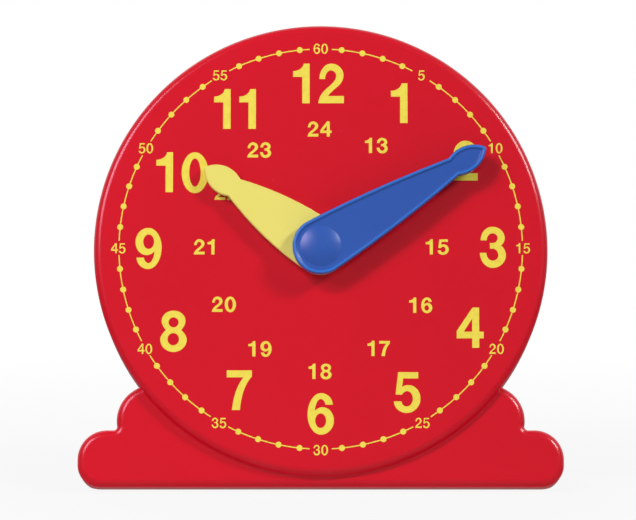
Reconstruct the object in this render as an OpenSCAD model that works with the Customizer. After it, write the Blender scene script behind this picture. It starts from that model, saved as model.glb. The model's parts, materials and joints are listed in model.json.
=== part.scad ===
// Geared teaching clock: a round dial on a cloud-shaped foot, an hour hand and a minute hand on
// one axis, a gear train behind the dial that holds them at 12 to 1, and a fold-out leg.
//
// Clock frame: X to the right, Y up the dial, Z out of the dial face, origin on the hand axis at
// the face. Depths are measured from the dial face towards the back. place() leans the finished
// clock back so that it stands on its foot and its leg, with +Z up.

/* [Dial] */
// Diameter of the round dial
dial_d = 100.6; // [94:0.2:105]
// How far the dial stands proud of the foot
dial_step = 2; // [1.9:0.1:2.6]
// Rounding of the front edges of dial and foot
front_round = 1.8; // [1:0.1:1.8]
// Radius of the soft crease where the dial meets the foot
crease_r = 0.8; // [0.4:0.1:1]

/* [Housing] */
// Thickness of the whole housing, dial face to back
body_t = 13; // [12.8:0.1:15]
// Wall thickness of both shells
wall = 2; // [1.6:0.1:2.2]
// Depth of the parting line between the shells
split_d = 8.5; // [8:0.1:9]
// Rounding of the back edges
back_round = 1.2; // [0.6:0.1:1.6]
// Height of the hand axis above the underside of the foot
axis_h = 52.7; // [52:0.1:54.5]
// Angle by which the clock leans back
lean = 12; // [10:0.5:14]
// Depth at which the level strip under the foot starts
land_d = 9; // [8.6:0.1:10.5]
// Thickness of the tongue that locates the cover in the front shell
tongue_t = 1; // [0.8:0.1:1.2]
// How far the tongue reaches into the front shell
tongue_h = 1.3; // [1:0.1:1.8]
// Gap between the tongue and the front shell
tongue_gap = 0.15; // [0.1:0.05:0.2]

/* [Foot] */
// Width of the foot
foot_w = 107.4; // [104:0.1:112]
// Radius of the bottom corners
corner_r = 5; // [4.4:0.1:5.4]
// Straight run between bottom corner and lower lobe
side_run = 1.2; // [0.5:0.1:1.6]
// Radius of the lower lobes
lobe_r = 6.5; // [5.9:0.1:7]
// Step in from the lower lobes to the upper ones
cloud_step = 8.6; // [7.5:0.1:9.5]
// Radius of the upper lobes
cloud_r = 7.9; // [7.2:0.1:8.6]
// Height of the upper lobes
cloud_h = 22.7; // [21:0.1:23.5]

/* [Gears] */
// Gear module, pitch diameter over teeth
gear_module = 0.8; // [0.7:0.01:0.84]
// Pressure angle of the teeth
pressure_angle = 20; // [20:1:25]
// Play between the teeth, along the pitch circle
backlash = 0.1; // [0.06:0.01:0.14]
// Face width of every gear
gear_t = 2.5; // [2:0.1:2.7]
// Gap between the two stages of the train
stage_gap = 0.5; // [0.4:0.1:0.6]

/* [Shafts] */
// Diameter of the steel arbor of the minute hand
arbor_d = 3; // [2.6:0.1:3.2]
// Wall of the hour pipe
pipe_wall = 1.45; // [1.2:0.05:1.6]
// Radial clearance of everything that turns on or in something
run_gap = 0.05; // [0.03:0.01:0.08]
// End play of the turning pieces
end_play = 0.1; // [0.08:0.01:0.15]
// Diameter of the transfer pin
transfer_pin_d = 2.5; // [2:0.1:2.8]
// Height of the thrust boss behind the dial
thrust_boss_h = 0.8; // [0.6:0.1:0.9]
// Thickness of the push nut and of the transfer washer
washer_t = 0.4; // [0.3:0.05:0.5]
// Height of the dished spring washer
spring_h = 0.5; // [0.4:0.05:0.6]

/* [Hands] */
// Radius of the minute hand's hub
minute_hub_r = 6.2; // [5.6:0.1:6.8]
// Radius of the hour hand's hub
hour_hub_r = 6; // [5.6:0.1:6.8]
// Reach of the minute hand from the axis
minute_reach = 42.6; // [40:0.1:43]
// Width of the minute hand's neck
minute_neck_w = 4.4; // [4:0.1:5]
// Width of the minute hand's head
minute_head_w = 5.74; // [5.4:0.02:6.2]
// Radius of the curved sides of the minute hand's head
minute_head_arc = 6.8; // [6:0.1:8]
// Outward bow of the minute hand's sides
minute_bow = 0.5; // [0.1:0.1:0.8]
// Thickness of the minute hand
minute_t = 2.2; // [2:0.1:2.6]
// Width of the minute hand's raised rim
rim_w = 0.9; // [0.8:0.1:1.3]
// Depth of the minute hand's sunk floor
rim_h = 0.4; // [0.3:0.1:0.8]
// Reach of the hour hand from the axis
hour_reach = 31.2; // [28:0.1:33]
// Width of the hour hand's neck
hour_neck_w = 4.6; // [4.2:0.1:5.2]
// Width of the hour hand's head
hour_head_w = 6; // [5.6:0.1:6.4]
// Radius of the curved sides of the hour hand's head
hour_head_arc = 6; // [5.4:0.1:7]
// Outward bow of the hour hand's sides
hour_bow = 1; // [0.5:0.1:1.2]
// Thickness of the hour hand
hour_t = 1.6; // [1.4:0.1:2]
// Gap between dial and hour hand
hour_lift = 0.9; // [0.6:0.1:1.2]
// Gap between hour hand and minute hand
hand_gap = 0.4; // [0.3:0.05:0.6]
// Rounding of the tips
tip_r = 0.6; // [0.4:0.1:0.8]
// Radius of the dome on the minute hand's hub
dome_r = 4.5; // [4:0.1:4.8]
// Height of the dome
dome_h = 0.9; // [0.7:0.1:1]
// Time shown: minutes past the full hour
minutes = 9.8333; // [0:0.5:59]
// Time shown: full hour
hours = 10; // [0:1:11]

/* [Leg] */
// Width of the leg
leg_w = 21; // [18:0.5:24]
// Thickness of the leg
leg_t = 2.4; // [2:0.1:2.6]
// Room between the top of the leg's pocket and the hinge
hinge_room = 2.7; // [2.7:0.1:3.2]
// Gap between the cannon pinion and the pocket's top wall
pinion_gap = 1.34; // [0.8:0.02:2]
// Lift of the folded leg's end above the underside of the foot
leg_lift = 0.5; // [0.4:0.05:0.6]
// Depth of the pocket for the folded leg
pocket_h = 3.6; // [3.5:0.05:3.7]
// Depth of the hinge below the back of the cover
hinge_sink = 1.7; // [1.65:0.05:1.8]
// Gap at each side of the leg
leg_gap = 0.3; // [0.2:0.05:0.5]
// Wall of the pocket inside the cover
pan_wall = 1.4; // [1.2:0.1:1.6]
// Diameter of the hinge pin
hinge_pin_d = 1.5; // [1.2:0.1:1.6]
// Wall of the hinge barrel around its bore
barrel_wall = 0.8; // [0.7:0.05:0.8]
// Corner radius at the end of the leg
leg_corner_r = 3; // [2:0.5:5]

/* [Screws] */
// Diameter of the screw shank
screw_d = 2; // [1.8:0.1:2.4]
// Diameter of the screw head
head_d = 4.4; // [4:0.1:4.8]
// Height of the screw head
head_t = 1.2; // [1:0.1:1.3]
// Length of the shank inside the front shell
screw_grip = 3.6; // [3:0.1:3.8]
// Diameter of the screw bosses
boss_d = 6.4; // [6:0.1:7]
// Angle of the upper screws above the horizontal
screw_angle = 37.5; // [34:0.5:42]

/* [Hidden] */
$fn = 96;
// How far a cut runs past the face it opens, and a joined form into its neighbour
over = 1;

// Housing
dial_r = dial_d / 2;
cover_in_d = body_t - wall;
tongue_inset = wall + tongue_gap;
cavity_inset = tongue_inset + tongue_t;
foot_h = corner_r + side_run + lobe_r;
foot_mid = foot_h / 2;
lobe_x = foot_w / 2 - lobe_r;
lobe_y = foot_h - lobe_r;
corner_x = foot_w / 2 - corner_r;
cloud_x = foot_w / 2 - cloud_step - cloud_r;
cloud_y = cloud_h - cloud_r;

// The level strip under the foot touches the floor, and the box of the clock is centred in Y
front_y = -(dial_r - front_round) * sin(lean) + front_round * cos(lean) - front_round;
back_y = (dial_r - back_round) * sin(lean) + (body_t - back_round) * cos(lean) + back_round;
place_y = -(front_y + back_y) / 2;
place_z = axis_h * cos(lean) + land_d * sin(lean);

// Gear train: 15 drives 45, and 12 on the same pin drives 48, which makes 1 to 12
cannon_teeth = 15;
wheel_teeth = 3 * cannon_teeth;
pinion_teeth = 12;
hour_teeth = 4 * pinion_teeth;
centre_dist = gear_module * (cannon_teeth + wheel_teeth) / 2;
addendum = 0.95;
dedendum = 1.25;
flank_steps = 4;
web_sink = 0.6;

// Depths of the train, from the dial face
hour_d0 = wall + thrust_boss_h + end_play;
hour_d1 = hour_d0 + gear_t;
wheel_d0 = hour_d1 + stage_gap;
wheel_d1 = wheel_d0 + gear_t;
cannon_d0 = wheel_d0 - end_play;
cannon_d1 = wheel_d1 + 2 * end_play;
nut_d1 = cannon_d1 + washer_t;
spring_d1 = nut_d1 + end_play + spring_h;
washer_d1 = wheel_d1 + end_play + washer_t;
pocket_floor = 1;
arbor_end_d = body_t - pocket_floor - 4 * end_play;
pin_seat_d = wall / 2;
spring_t = 0.25;

// Radii of the train
arbor_r = arbor_d / 2;
pipe_bore_r = arbor_r + run_gap;
pipe_r = pipe_bore_r + pipe_wall;
spigot_r = pipe_r - 0.4;
spigot_flat = spigot_r - 0.5;
pin_r = transfer_pin_d / 2;
hub_wall = 1.7;
thrust_boss_r = pipe_r + run_gap + hub_wall;

// Heights of the hands in front of the dial face
hour_z = hour_lift;
minute_z = hour_z + hour_t + hand_gap;
floor_z = minute_z + minute_t - rim_h;
arbor_top_z = floor_z + dome_h / 3;
minute_angle = minutes * 6;
hour_angle = hours * 30 + minute_angle / 12;

// Leg: hinge place, length, and the angle at which its round end meets the floor
pocket_top = -(gear_module * (cannon_teeth / 2 + addendum) + pinion_gap + pan_wall);
hinge_y = pocket_top - hinge_room;
hinge_h = axis_h + hinge_y;
hinge_d = body_t - hinge_sink;
pocket_d = body_t - pocket_h;
leg_len = hinge_h - leg_lift;
leg_end_r = leg_t / 2;
hinge_floor = hinge_h * cos(lean) - (hinge_d - land_d) * sin(lean);
leg_open = lean + acos((hinge_floor - leg_end_r) / (leg_len - leg_end_r));
stop_gap = 0.05;
heel = (pocket_h - hinge_sink - stop_gap - leg_end_r * cos(leg_open)) / sin(leg_open);
pocket_x = leg_w / 2 + leg_gap;
hinge_pin_r = hinge_pin_d / 2;
barrel_r = hinge_pin_r + run_gap + barrel_wall;

// Screws
screw_r = screw_d / 2;
boss_r = boss_d / 2;
head_r = head_d / 2;
head_gap = 0.2;
seat_d = body_t - head_t - head_gap;
screw_ring = dial_r - cavity_inset - boss_r - 0.6;
dial_screws = [
    for (side = [-1, 1]) [side * screw_ring * cos(screw_angle), screw_ring * sin(screw_angle)]
];
foot_screws = [for (side = [-1, 1]) [side * (lobe_x - boss_r), foot_mid - axis_h]];
screw_places = concat(dial_screws, foot_screws);

// ---------- shared forms ----------

// Stands the clock up: leaned back, on the floor, centred over the origin
module place() {
    translate([0, place_y, place_z])
        rotate([90 - lean, 0, 0])
            children();
}

// A round bar from depth d0 to depth d1
module post(r, d0, d1) {
    translate([0, 0, -d1])
        cylinder(r = r, h = d1 - d0);
}

// Half section of a slab with one rounded rim: reach along X, back at 0, front at t
module rim_section(reach, t, front, back) {
    if (t > front + back)
        translate([0, back])
            square([reach, t - front - back]);
    if (front > 0) {
        translate([0, t - front - 0.01])
            square([reach - front, front + 0.01]);
        translate([reach - front, t - front])
            circle(front);
    }
    if (back > 0) {
        square([reach - back, back + 0.01]);
        translate([reach - back, back])
            circle(back);
    }
}

// Round slab with a rounded rim
module rim_disc(r, t, front, back, sweep = 360) {
    rotate_extrude(angle = sweep)
        rim_section(r, t, front, back);
}

// Straight slab whose outer edge is rounded like the discs'
module rim_bar(run, reach, t, front, back, turn) {
    rotate([0, 0, turn])
        rotate([90, 0, 0])
            linear_extrude(run, center = true)
                rim_section(reach, t, front, back);
}

// The dial's round form between two depths, drawn in by inset
module dial_form(inset, d0, d1, front = 0, back = 0) {
    translate([0, 0, -d1])
        rim_disc(dial_r - inset, d1 - d0, front, back);
}

// The foot's cloud form between two depths, drawn in by inset
module foot_form(inset, d0, d1, front = 0, back = 0) {
    t = d1 - d0;
    translate([0, -axis_h, -d1]) {
        translate([0, foot_mid, 0])
            rim_bar(2 * corner_x, foot_mid - inset, t, front, back, -90);
        translate([0, foot_mid, 0])
            rim_bar(2 * lobe_x, foot_mid - inset, t, front, back, 90);
        translate([-cloud_x, foot_mid, 0])
            cube([2 * cloud_x, cloud_h - foot_mid - inset, t]);
        for (side = [-1, 1]) {
            translate([side * lobe_x, corner_r + side_run / 2, 0])
                rim_bar(side_run, lobe_r - inset, t, front, back, 90 - side * 90);
            translate([side * corner_x, corner_r, 0])
                rim_disc(corner_r - inset, t, front, back);
            translate([side * lobe_x, lobe_y, 0])
                rim_disc(lobe_r - inset, t, front, back, 180);
            translate([side * cloud_x, cloud_y, 0])
                rim_disc(cloud_r - inset, t, front, back);
        }
    }
}

// ---------- gears ----------

function involute(a) = tan(a) * 180 / PI - a;

// Half angle of a tooth at radius r
function tooth_half(teeth, r) =
    let (pitch_r = gear_module * teeth / 2, base_r = pitch_r * cos(pressure_angle))
    90 / teeth - backlash / 2 / pitch_r * 180 / PI + involute(pressure_angle)
    - (r > base_r ? involute(acos(base_r / r)) : 0);

// Involute gear outline with a tooth on +Y
module gear_outline(teeth) {
    pitch_r = gear_module * teeth / 2;
    base_r = pitch_r * cos(pressure_angle);
    root_r = pitch_r - dedendum * gear_module;
    tip_radius = pitch_r + addendum * gear_module;
    start_r = max(base_r, root_r);
    flank = [
        [root_r, tooth_half(teeth, start_r)],
        for (i = [0 : flank_steps])
            let (r = start_r + (tip_radius - start_r) * i / flank_steps)
            if (r > root_r) [r, tooth_half(teeth, r)]
    ];
    last = len(flank) - 1;
    polygon([
        for (k = [0 : teeth - 1])
            for (i = [0 : 2 * last + 1])
                let (
                    p = i <= last ? flank[i] : flank[2 * last + 1 - i],
                    a = 90 + k * 360 / teeth + (i <= last ? -p[1] : p[1])
                )
                [p[0] * cos(a), p[0] * sin(a)]
    ]);
}

// Gear from depth d0 to d1, turned by turn; a web is sunk between rim and hub
module gear(teeth, d0, d1, turn, web_r = 0) {
    rim_r = gear_module * (teeth / 2 - dedendum) - hub_wall;
    difference() {
        translate([0, 0, -d1])
            rotate([0, 0, turn])
                linear_extrude(d1 - d0)
                    gear_outline(teeth);
        if (web_r > 0) {
            difference() {
                union() {
                    post(rim_r, d0 - over, d0 + web_sink);
                    post(rim_r, d1 - web_sink, d1 + over);
                }
                post(web_r, d0 - 2 * over, d1 + 2 * over);
            }
        }
    }
}

// ---------- hands ----------

// Outline of a hand that points along +Y, drawn in by inset: hub, bowed blade and leaf-shaped head
module hand_outline(hub_r, reach, neck_w, head_w, head_arc, bow, inset) {
    off = head_arc - head_w / 2;
    head_u = reach - tip_r - sqrt(pow(head_arc - tip_r, 2) - off * off);
    neck_u = head_u - sqrt(head_arc * head_arc - pow(off + neck_w / 2, 2));
    tangent_u = head_arc * (reach - tip_r - head_u) / (head_arc - tip_r);
    steps = 12;
    side = [
        for (i = [0 : steps])
            let (s = i / steps)
            [hub_r + (neck_w / 2 - hub_r) * s + 4 * bow * s * (1 - s) - inset, neck_u * s]
    ];
    circle(hub_r - inset);
    polygon([
        for (i = [0 : steps]) side[i],
        for (i = [steps : -1 : 0]) [-side[i][0], side[i][1]]
    ]);
    translate([0, head_u])
        intersection() {
            translate([off, 0])
                circle(head_arc - inset, $fn = 180);
            translate([-off, 0])
                circle(head_arc - inset, $fn = 180);
            translate([-head_w, -head_w])
                square([2 * head_w, head_w + tangent_u]);
        }
    if (inset < tip_r)
        translate([0, reach - tip_r])
            circle(tip_r - inset);
}

module minute_outline(inset) {
    hand_outline(
        minute_hub_r, minute_reach, minute_neck_w, minute_head_w, minute_head_arc, minute_bow, inset
    );
}

module hour_outline(inset) {
    hand_outline(hour_hub_r, hour_reach, hour_neck_w, hour_head_w, hour_head_arc, hour_bow, inset);
}

// The flattened end of the hour pipe, which turns the hour hand
module spigot_outline() {
    intersection() {
        circle(spigot_r);
        translate([-spigot_r, -spigot_r])
            square([2 * spigot_r, spigot_r + spigot_flat]);
    }
}

// ---------- pieces ----------

// Front shell: dial, foot front and side walls in one moulding
module front_housing() {
    color([0.82, 0.12, 0.17])
    place()
    difference() {
        union() {
            difference() {
                union() {
                    dial_form(0, 0, split_d, front_round);
                    foot_form(0, dial_step, split_d, front_round);
                    crease();
                }
                dial_form(wall, wall, split_d + over);
                foot_form(wall, dial_step + wall, split_d + over);
            }
            post(thrust_boss_r, wall / 2, wall + thrust_boss_h);
            translate([0, centre_dist, 0])
                post(pin_r + hub_wall, wall / 2, wall + thrust_boss_h);
            for (p = dial_screws)
                translate(p)
                    post(boss_r, wall / 2, split_d);
            for (p = foot_screws)
                translate(p)
                    post(boss_r, dial_step + wall / 2, split_d);
        }
        post(pipe_r + run_gap, -over, wall + thrust_boss_h + over);
        translate([0, centre_dist, 0])
            post(pin_r, pin_seat_d, wall + thrust_boss_h + over);
        for (p = screw_places)
            translate(p)
                post(screw_r, split_d - screw_grip - head_gap, split_d + over);
    }
}

// Concave fillet round the dial, where it stands on the foot
module crease() {
    intersection() {
        translate([0, 0, -dial_step])
            rotate_extrude()
                difference() {
                    translate([dial_r - crease_r, -crease_r / 2])
                        square([2 * crease_r, 1.5 * crease_r]);
                    translate([dial_r + crease_r, crease_r])
                        circle(crease_r);
                }
        foot_form(front_round, dial_step - 2 * crease_r, split_d);
    }
}

// Back shell: tray with tongue, bearing bosses, leg pocket and level strip
module rear_cover() {
    color([0.80, 0.12, 0.16])
    place()
    difference() {
        union() {
            difference() {
                union() {
                    dial_form(0, split_d, body_t, 0, back_round);
                    foot_form(0, split_d, body_t, 0, back_round);
                    dial_form(tongue_inset, split_d - tongue_h, split_d + over);
                    foot_form(tongue_inset, split_d - tongue_h, split_d + over);
                }
                dial_form(cavity_inset, split_d - tongue_h - over, cover_in_d);
                foot_form(cavity_inset, split_d - tongue_h - over, cover_in_d);
            }
            pocket_pan();
            post(arbor_r + run_gap + hub_wall, spring_d1, cover_in_d + over);
            translate([0, centre_dist, 0])
                post(pin_r + hub_wall, washer_d1, cover_in_d + over);
            for (p = screw_places)
                translate(p)
                    post(boss_r, split_d, cover_in_d + over);
        }
        leg_pocket();
        post(arbor_r + run_gap, spring_d1 - over, body_t - pocket_floor);
        translate([0, centre_dist, 0])
            post(pin_r, washer_d1 - over, body_t - pocket_floor);
        for (p = screw_places)
            translate(p) {
                post(screw_r + head_gap, split_d - over, body_t);
                post(head_r + head_gap, seat_d, body_t + over);
            }
        below_floor();
    }
}

// Walls and floor of the leg pocket, inside the cover
module pocket_pan() {
    low_y = tongue_inset - axis_h;
    translate([-pocket_x - pan_wall, low_y, -cover_in_d - over])
        cube([
            2 * (pocket_x + pan_wall),
            pocket_top + pan_wall - low_y,
            cover_in_d + over - pocket_d + pan_wall
        ]);
}

// Space that the folded leg lies in, with a finger scoop at each side and the holes of its pin
module leg_pocket() {
    scoop_r = 9;
    scoop_sink = 1.3;
    translate([-pocket_x, -axis_h - over, -body_t - over])
        cube([2 * pocket_x, pocket_top + axis_h + over, pocket_h + over]);
    translate([0, hinge_y, -hinge_d])
        rotate([0, 90, 0])
            cylinder(r = hinge_pin_r, h = 2 * (pocket_x + pan_wall), center = true);
    for (side = [-1, 1])
        translate([side * pocket_x, foot_h - axis_h, -body_t - scoop_r + scoop_sink])
            sphere(scoop_r);
}

// Everything under the floor line, which leaves the level strip under the foot
module below_floor() {
    translate([0, -axis_h, -land_d])
        rotate([lean, 0, 0])
            translate([-foot_w, -foot_h, -2 * body_t])
                cube([2 * foot_w, foot_h, 4 * body_t]);
}

// Four pan-head screws with cross recesses
module cover_screws() {
    slot_w = 0.7;
    slot_h = 0.7;
    color([0.72, 0.73, 0.75])
    place()
    for (p = screw_places)
        translate(p)
            difference() {
                union() {
                    post(screw_r, split_d - screw_grip, seat_d + 0.1);
                    post(head_r, seat_d, seat_d + head_t);
                }
                for (turn = [0, 90])
                    rotate([0, 0, turn])
                        translate([-head_r * 0.6, -slot_w / 2, -seat_d - head_t - over])
                            cube([head_r * 1.2, slot_w, slot_h + over]);
            }
}

// Hour hand: flat leaf on the flattened end of the hour pipe
module hour_hand() {
    color([0.92, 0.87, 0.46])
    place()
    translate([0, 0, hour_z])
        rotate([0, 0, -hour_angle])
            linear_extrude(hour_t)
                difference() {
                    hour_outline(0);
                    spigot_outline();
                }
}

// Minute hand: raised rim, sunk floor, domed hub, and a blind seat for its arbor
module minute_hand() {
    dome_ball = (dome_r * dome_r + dome_h * dome_h) / (2 * dome_h);
    color([0.21, 0.35, 0.67])
    place()
    rotate([0, 0, -minute_angle])
        difference() {
            union() {
                translate([0, 0, minute_z])
                    linear_extrude(minute_t)
                        difference() {
                            minute_outline(0);
                            minute_outline(rim_w);
                        }
                translate([0, 0, minute_z])
                    linear_extrude(minute_t - rim_h)
                        minute_outline(0);
                translate([0, 0, minute_z - hand_gap + end_play])
                    cylinder(r = arbor_r + 0.9, h = hand_gap);
                intersection() {
                    translate([0, 0, floor_z + dome_h - dome_ball])
                        sphere(dome_ball);
                    translate([0, 0, minute_z])
                        cylinder(r = dome_r, h = minute_t + dome_h);
                }
            }
            translate([0, 0, minute_z - hand_gap])
                cylinder(r = arbor_r, h = arbor_top_z - minute_z + hand_gap);
        }
}

// Steel arbor, pressed into the minute hand and the cannon pinion
module minute_arbor() {
    color([0.75, 0.76, 0.78])
    place()
    post(arbor_r, -arbor_top_z, arbor_end_d);
}

// Cannon pinion, driven by the minute arbor
module cannon_pinion() {
    color([0.93, 0.93, 0.90])
    place()
    difference() {
        gear(cannon_teeth, cannon_d0, cannon_d1, 0);
        post(arbor_r, cannon_d0 - over, cannon_d1 + over);
    }
}

// Push nut that holds the pinion on the arbor, with six grip notches
module push_nut() {
    notch_w = 0.5;
    color([0.70, 0.71, 0.73])
    place()
    difference() {
        post(arbor_r + hub_wall, cannon_d1, nut_d1);
        post(arbor_r, cannon_d1 - over, nut_d1 + over);
        for (turn = [0 : 60 : 300])
            rotate([0, 0, turn])
                translate([arbor_r - 0.1, -notch_w / 2, -nut_d1 - over])
                    cube([hub_wall / 2, notch_w, washer_t + 2 * over]);
    }
}

// Dished spring washer: it gives the hands the drag that keeps them where they are set
module spring_washer() {
    in_r = arbor_r + 2 * run_gap;
    out_r = arbor_r + hub_wall - 2 * run_gap;
    color([0.66, 0.67, 0.70])
    place()
    rotate_extrude()
        polygon([
            [in_r, -spring_d1 + spring_h],
            [out_r, -spring_d1 + spring_t],
            [out_r, -spring_d1],
            [in_r, -spring_d1 + spring_h - spring_t]
        ]);
}

// Transfer wheel and pinion in one moulding
module transfer_wheel() {
    color([0.93, 0.93, 0.90])
    place()
    translate([0, centre_dist, 0])
        difference() {
            union() {
                gear(wheel_teeth, wheel_d0, wheel_d1, 180 + 180 / wheel_teeth, pin_r + 2 * hub_wall);
                gear(pinion_teeth, hour_d0, wheel_d0 + web_sink + 0.1, 180);
            }
            post(pin_r + run_gap, hour_d0 - over, wheel_d1 + over);
            wheel_windows(wheel_teeth, pin_r + 2 * hub_wall);
        }
}

// Five round windows through the web of a wheel
module wheel_windows(teeth, web_r) {
    rim_r = gear_module * (teeth / 2 - dedendum) - hub_wall;
    window_r = (rim_r - web_r) / 2 - 1;
    for (turn = [0 : 72 : 288])
        rotate([0, 0, turn])
            translate([0, (rim_r + web_r) / 2, 0])
                post(window_r, hour_d0 - over, wheel_d1 + over);
}

// Steel pin that the transfer wheel turns on, held in both shells
module transfer_pin() {
    color([0.75, 0.76, 0.78])
    place()
    translate([0, centre_dist, 0])
        post(pin_r, pin_seat_d, body_t - pocket_floor - end_play);
}

// Washer between the transfer wheel and the cover
module transfer_washer() {
    color([0.70, 0.71, 0.73])
    place()
    translate([0, centre_dist, 0])
        difference() {
            post(pin_r + hub_wall, washer_d1 - washer_t, washer_d1);
            post(pin_r, washer_d1 - washer_t - over, washer_d1 + over);
        }
}

// Hour wheel, pipe and flattened spigot in one moulding
module hour_wheel() {
    web_r = pipe_r + hub_wall;
    color([0.93, 0.93, 0.90])
    place()
    difference() {
        union() {
            gear(hour_teeth, hour_d0, hour_d1, 180 / hour_teeth, web_r);
            post(pipe_r, -hour_z, hour_d0 + over);
            post(web_r - 1, hour_d0 + over, cannon_d0 - end_play);
            rotate([0, 0, -hour_angle])
                translate([0, 0, hour_z - 0.5])
                    linear_extrude(hour_t + 0.5)
                        spigot_outline();
        }
        post(pipe_bore_r, -minute_z, cannon_d0 + over);
        wheel_windows(hour_teeth, web_r);
    }
}

// Fold-out leg: barrel, plate with a round end, sunk panel, and the heel that stops it when open
module support_leg() {
    color([0.80, 0.12, 0.16])
    place()
    translate([0, hinge_y, -hinge_d])
        rotate([leg_open, 0, 0])
            difference() {
                leg_plate();
                rotate([0, 90, 0])
                    cylinder(r = hinge_pin_r + run_gap, h = leg_w + over, center = true);
                leg_panel();
            }
}

// Barrel, heel and plate, hanging straight down from the hinge at the origin
module leg_plate() {
    rotate([0, 90, 0])
        cylinder(r = barrel_r, h = leg_w, center = true);
    translate([-leg_w / 2, leg_corner_r - leg_len, -leg_t / 2])
        cube([leg_w, leg_len - leg_corner_r + heel, leg_t]);
    translate([0, leg_corner_r - leg_len, -leg_t / 2])
        rim_bar(leg_w - 2 * leg_corner_r, leg_corner_r, leg_t, leg_end_r, leg_end_r, -90);
    for (side = [-1, 1])
        translate([side * (leg_w / 2 - leg_corner_r), leg_corner_r - leg_len, -leg_t / 2])
            rim_disc(leg_corner_r, leg_t, leg_end_r, leg_end_r);
}

// Sunk panel in the face of the leg that shows when it is folded, with three grip ribs left standing
module leg_panel() {
    margin = 3;
    sink = 0.5;
    rib_w = 0.8;
    rib_pitch = 2;
    low_y = margin + leg_corner_r - leg_len;
    high_y = -barrel_r - margin;
    difference() {
        translate([margin - leg_w / 2, low_y, -leg_t / 2 - over])
            cube([leg_w - 2 * margin, high_y - low_y, sink + over]);
        for (i = [1 : 3])
            translate([-leg_w / 2, low_y + i * rib_pitch, -leg_t])
                cube([leg_w, rib_w, leg_t]);
    }
}

// Steel hinge pin of the leg, held in the walls of the pocket
module leg_pin() {
    color([0.75, 0.76, 0.78])
    place()
    translate([0, hinge_y, -hinge_d])
        rotate([0, 90, 0])
            cylinder(r = hinge_pin_r, h = 2 * (pocket_x + pan_wall), center = true);
}

front_housing();
rear_cover();
cover_screws();
hour_hand();
minute_hand();
minute_arbor();
cannon_pinion();
push_nut();
spring_washer();
transfer_wheel();
transfer_pin();
transfer_washer();
hour_wheel();
support_leg();
leg_pin();
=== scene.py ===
import json
from contextlib import contextmanager
from math import acos, asin, atan2, cos, degrees, pi, radians, sin, sqrt, tan

import bmesh
import bpy
from mathutils import Matrix, Vector
from mathutils.kdtree import KDTree


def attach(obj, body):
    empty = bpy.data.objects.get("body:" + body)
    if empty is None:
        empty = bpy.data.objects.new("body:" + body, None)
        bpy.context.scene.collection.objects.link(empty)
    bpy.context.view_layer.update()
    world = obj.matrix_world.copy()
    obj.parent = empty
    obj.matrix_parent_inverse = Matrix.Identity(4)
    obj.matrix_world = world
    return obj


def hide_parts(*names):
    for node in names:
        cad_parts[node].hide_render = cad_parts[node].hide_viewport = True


# Looks of the geared teaching clock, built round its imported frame.
#
# Every piece is modelled in the clock's own frame, in millimetres: X to the right, Y up the dial,
# Z out of the dial face, origin on the hand axis at the face. settle() brings a finished piece to
# metres and leans it back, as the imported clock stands. A name that ends in _D is a depth behind the
# face, which lies at Z = -depth.

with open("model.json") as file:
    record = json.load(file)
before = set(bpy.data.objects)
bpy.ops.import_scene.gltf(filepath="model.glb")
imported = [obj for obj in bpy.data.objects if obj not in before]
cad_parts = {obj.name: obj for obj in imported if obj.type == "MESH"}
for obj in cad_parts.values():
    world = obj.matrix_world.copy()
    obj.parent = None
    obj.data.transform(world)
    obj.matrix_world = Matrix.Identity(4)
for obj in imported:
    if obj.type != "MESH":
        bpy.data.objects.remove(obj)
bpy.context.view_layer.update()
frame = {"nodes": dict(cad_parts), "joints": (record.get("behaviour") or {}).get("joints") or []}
bpy.ops.object.select_all(action="DESELECT")
joints = {joint["name"]: joint for joint in frame["joints"]}


# ---------- where the clock stands ----------

def clock_frame():
    """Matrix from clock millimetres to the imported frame, read off the minute hand's joint."""
    z = -Vector(joints["minute_turn"]["axis"])
    x = Vector((1, 0, 0))
    turn = Matrix((x, z.cross(x), z)).transposed().to_4x4()
    return Matrix.Translation(joints["minute_turn"]["pos_m"]) @ turn @ Matrix.Scale(0.001, 4)


PLACE = clock_frame()
LEAN = atan2(-joints["minute_turn"]["axis"][2], joints["minute_turn"]["axis"][1])
TRAIN_Y = (PLACE.inverted() @ Vector(joints["transfer_turn"]["pos_m"])).y
HINGE = PLACE.inverted() @ Vector(joints["leg_fold"]["pos_m"])

# ---------- driving dimensions, in millimetres and degrees ----------

# Housing
DIAL_R = 50.3
DIAL_STEP = 2
FRONT_ROUND = 1.8
CREASE_R = 0.8
BODY_T = 13
WALL = 2
SPLIT_D = 8.5
SEAM = 0.15
BACK_ROUND = 1.2
AXIS_H = 52.7
LAND_D = 9
TONGUE_T = 1
CAVITY_INSET = 3.15

# Foot
FOOT_W = 107.4
CORNER_R = 5
SIDE_RUN = 1.2
LOBE_R = 6.5
CLOUD_STEP = 8.6
CLOUD_R = 7.9
CLOUD_H = 22.7
NOTCH_R = 0.8
FOOT_H = CORNER_R + SIDE_RUN + LOBE_R
CORNER_X = FOOT_W / 2 - CORNER_R
LOBE_X = FOOT_W / 2 - LOBE_R
CLOUD_X = FOOT_W / 2 - CLOUD_STEP - CLOUD_R

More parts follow.
